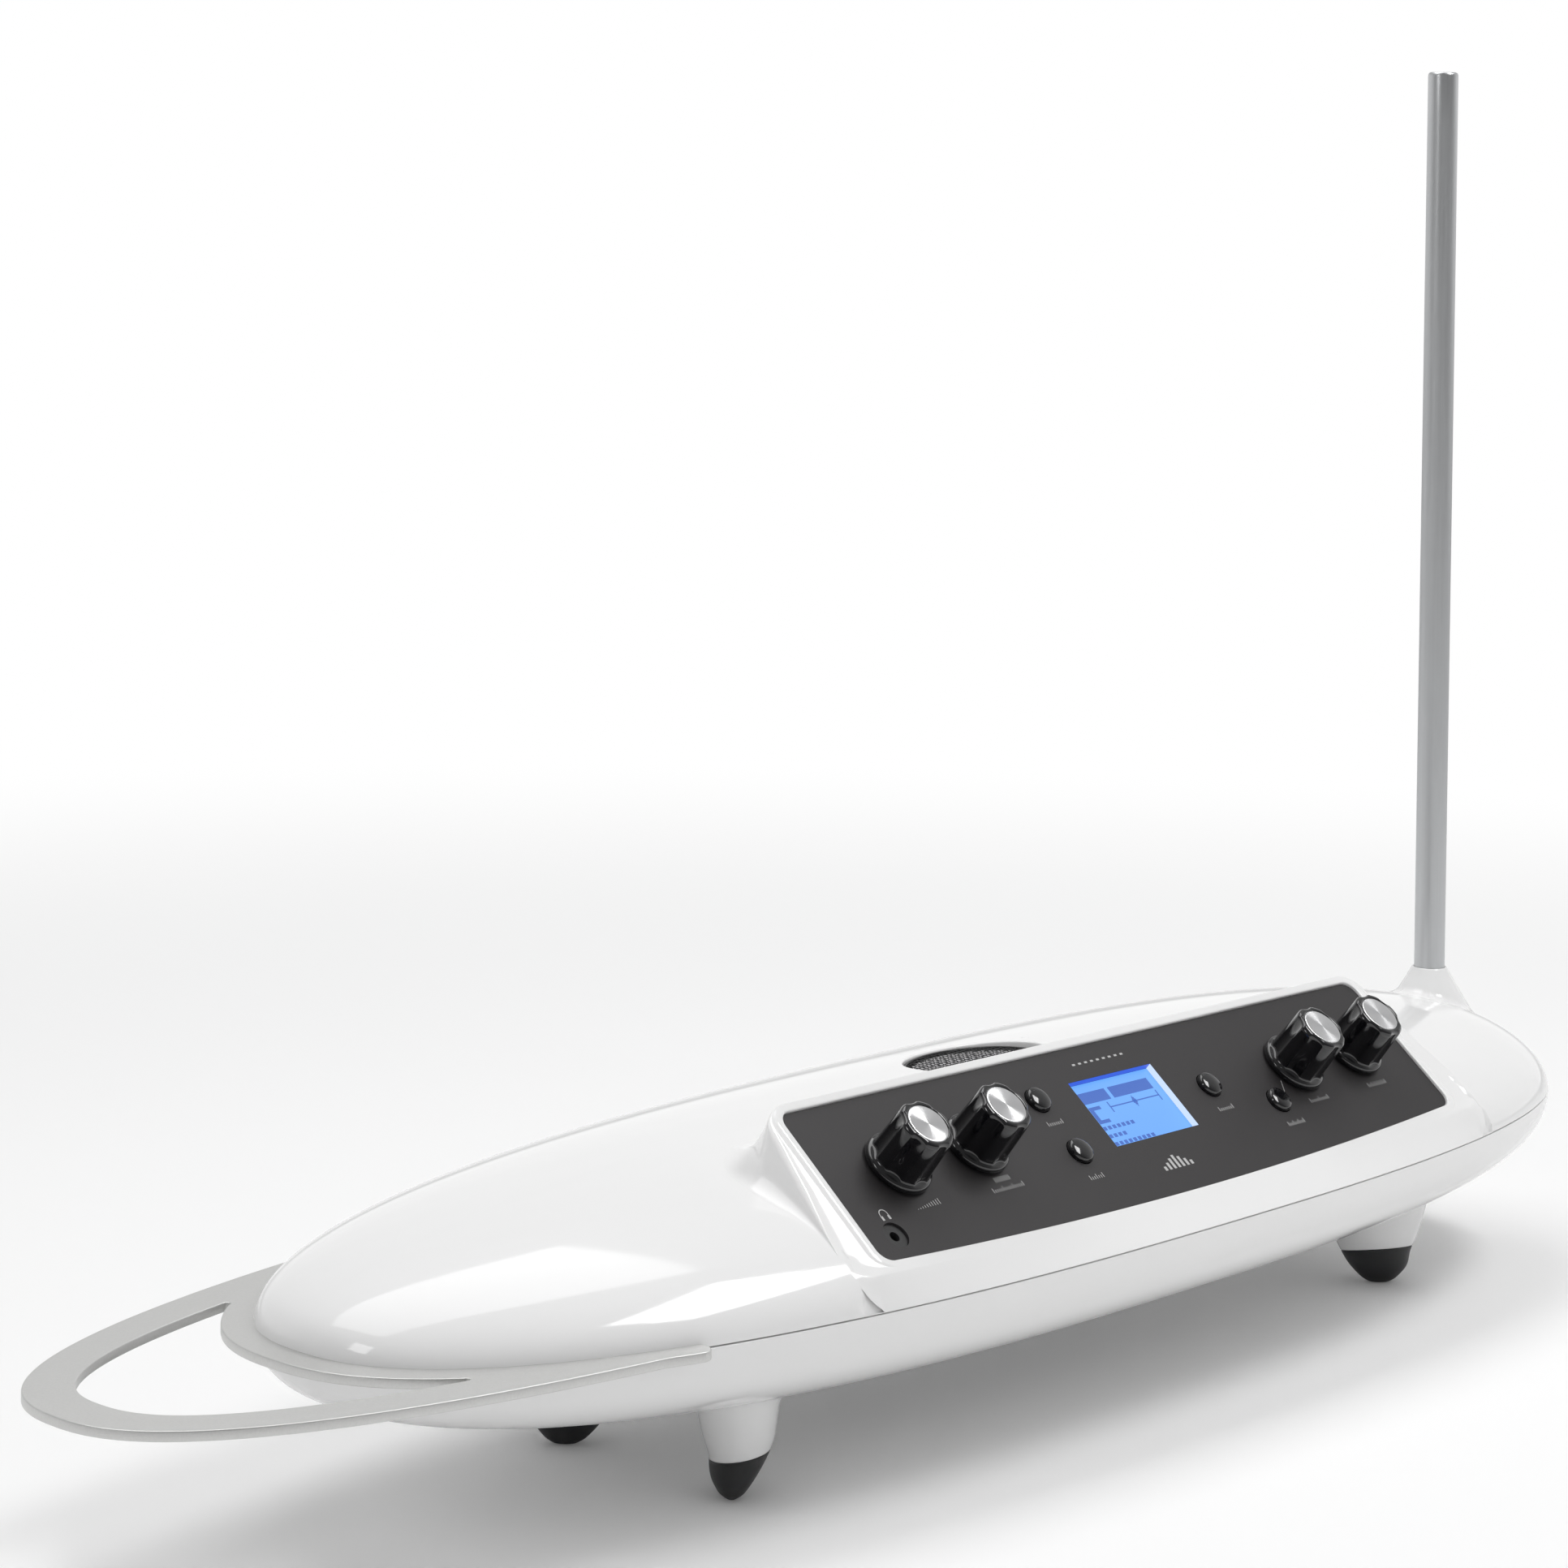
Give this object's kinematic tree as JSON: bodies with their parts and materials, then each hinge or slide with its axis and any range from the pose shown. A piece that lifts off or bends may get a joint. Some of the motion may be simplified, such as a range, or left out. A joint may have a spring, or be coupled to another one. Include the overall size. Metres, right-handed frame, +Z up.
{
  "type": "theremin",
  "caption": "Tabletop theremin with a long white rounded hull, a flat metal volume loop, an upright pitch rod and a tilted black control panel.",
  "frame": {"origin": "on the table under the middle of the bounding box", "axes": "+X along the instrument from the volume loop to the pitch rod, +Y to the back, +Z up"},
  "size_m": [0.7014, 0.193, 0.4575],
  "materials": {
    "white_shell": "glossy white moulded plastic",
    "panel_black": "fine-textured black",
    "gloss_black": "high gloss black",
    "spun_disc": "spun, with radial highlights",
    "loop_metal": "matt brushed light grey",
    "rod_metal": "satin, brushed along its length",
    "brass": "machined",
    "steel": "plated",
    "dark_plastic": "dull dark",
    "window_clear": "clear acrylic over the display",
    "display_blue": "blue backlit display",
    "board_green": "solder-masked circuit board",
    "grille_black": "black square mesh",
    "cloth": "grey acoustic cloth",
    "speaker_dark": "black",
    "cone_paper": "coated paper",
    "rubber": "black",
    "wire": "insulated wire",
    "ribbon": "grey flat cable"
  },
  "bodies": {
    "chassis": {"upper_shell": "white_shell", "lower_shell": "white_shell", "control_panel": "panel_black", "volume_loop": "loop_metal", "rod_socket": "brass", "socket_nut": "brass", "pot_bodies": "dark_plastic", "encoder_body": "dark_plastic", "pot_washers": "steel", "pot_nuts": "steel", "tact_switches": "dark_plastic", "display_window": "window_clear", "display_module": "display_blue", "display_header": "dark_plastic", "phones_jack": "dark_plastic", "control_board": "board_green", "board_spacers": "brass", "spacer_screws": "steel", "speaker_grille": "grille_black", "grille_cloth": "cloth", "speaker_basket": "speaker_dark", "speaker_magnet": "steel", "speaker_cone": "cone_paper", "main_board": "board_green", "main_board_screws": "steel", "board_headers": "dark_plastic", "ribbon_cable": "ribbon", "output_jacks": "dark_plastic", "jack_nuts": "steel", "usb_socket": "steel", "dc_inlet": "dark_plastic", "power_switch": "dark_plastic", "rear_panel": "dark_plastic", "rear_panel_screws": "steel", "legs": "white_shell", "foot_pads": "rubber", "leg_screws": "steel", "shell_screws": "steel", "loop_screws": "steel", "antenna_leads": "wire", "stand_insert": "brass"},
    "volume_dial": {"volume_knob": "gloss_black", "volume_disc": "spun_disc", "volume_shaft": "steel"},
    "correction_dial": {"correction_knob": "gloss_black", "correction_disc": "spun_disc", "correction_shaft": "steel"},
    "amount_dial": {"amount_knob": "gloss_black", "amount_disc": "spun_disc", "amount_shaft": "steel"},
    "presets_dial": {"presets_knob": "gloss_black", "presets_disc": "spun_disc", "presets_shaft": "steel"},
    "scale_key": {"scale_button": "gloss_black"},
    "root_key": {"root_button": "gloss_black"},
    "setup_key": {"setup_button": "gloss_black"},
    "effect_key": {"effect_button": "gloss_black"},
    "power_key": {"power_button": "gloss_black"},
    "rod": {"pitch_rod": "rod_metal"}
  },
  "joints": [
    {"name": "volume_turn", "type": "hinge", "parent": "chassis", "child": "volume_dial", "pos_m": [-0.0621, -0.05579, 0.09668], "axis": [0, -0.6361, 0.7716], "range_deg": [-150, 150]},
    {"name": "correction_turn", "type": "hinge", "parent": "chassis", "child": "correction_dial", "pos_m": [-0.0231, -0.05579, 0.09668], "axis": [0, -0.6361, 0.7716], "range_deg": [-150, 150]},
    {"name": "amount_turn", "type": "hinge", "parent": "chassis", "child": "amount_dial", "pos_m": [0.1546, -0.05579, 0.09668], "axis": [0, -0.6361, 0.7716], "range_deg": [-150, 150]},
    {"name": "presets_turn", "type": "hinge", "parent": "chassis", "child": "presets_dial", "pos_m": [0.1914, -0.05579, 0.09668], "axis": [0, -0.6361, 0.7716], "continuous": true},
    {"name": "scale_press", "type": "slide", "parent": "chassis", "child": "scale_key", "axis": [0, 0.6361, -0.7716], "range_m": [0, 0.001], "stiffness_N_per_m": 600, "springref_m": -0.0006},
    {"name": "root_press", "type": "slide", "parent": "chassis", "child": "root_key", "axis": [0, 0.6361, -0.7716], "range_m": [0, 0.001], "stiffness_N_per_m": 600, "springref_m": -0.0006},
    {"name": "setup_press", "type": "slide", "parent": "chassis", "child": "setup_key", "axis": [0, 0.6361, -0.7716], "range_m": [0, 0.001], "stiffness_N_per_m": 600, "springref_m": -0.0006},
    {"name": "effect_press", "type": "slide", "parent": "chassis", "child": "effect_key", "axis": [0, 0.6361, -0.7716], "range_m": [0, 0.001], "stiffness_N_per_m": 600, "springref_m": -0.0006},
    {"name": "power_press", "type": "slide", "parent": "chassis", "child": "power_key", "axis": [0, -1, 0], "range_m": [0, 0.002], "stiffness_N_per_m": 600, "springref_m": -0.0006},
    {"name": "rod_pull", "type": "slide", "parent": "chassis", "child": "rod", "axis": [0, 0, 1], "range_m": [0, 0.029]}
  ]
}
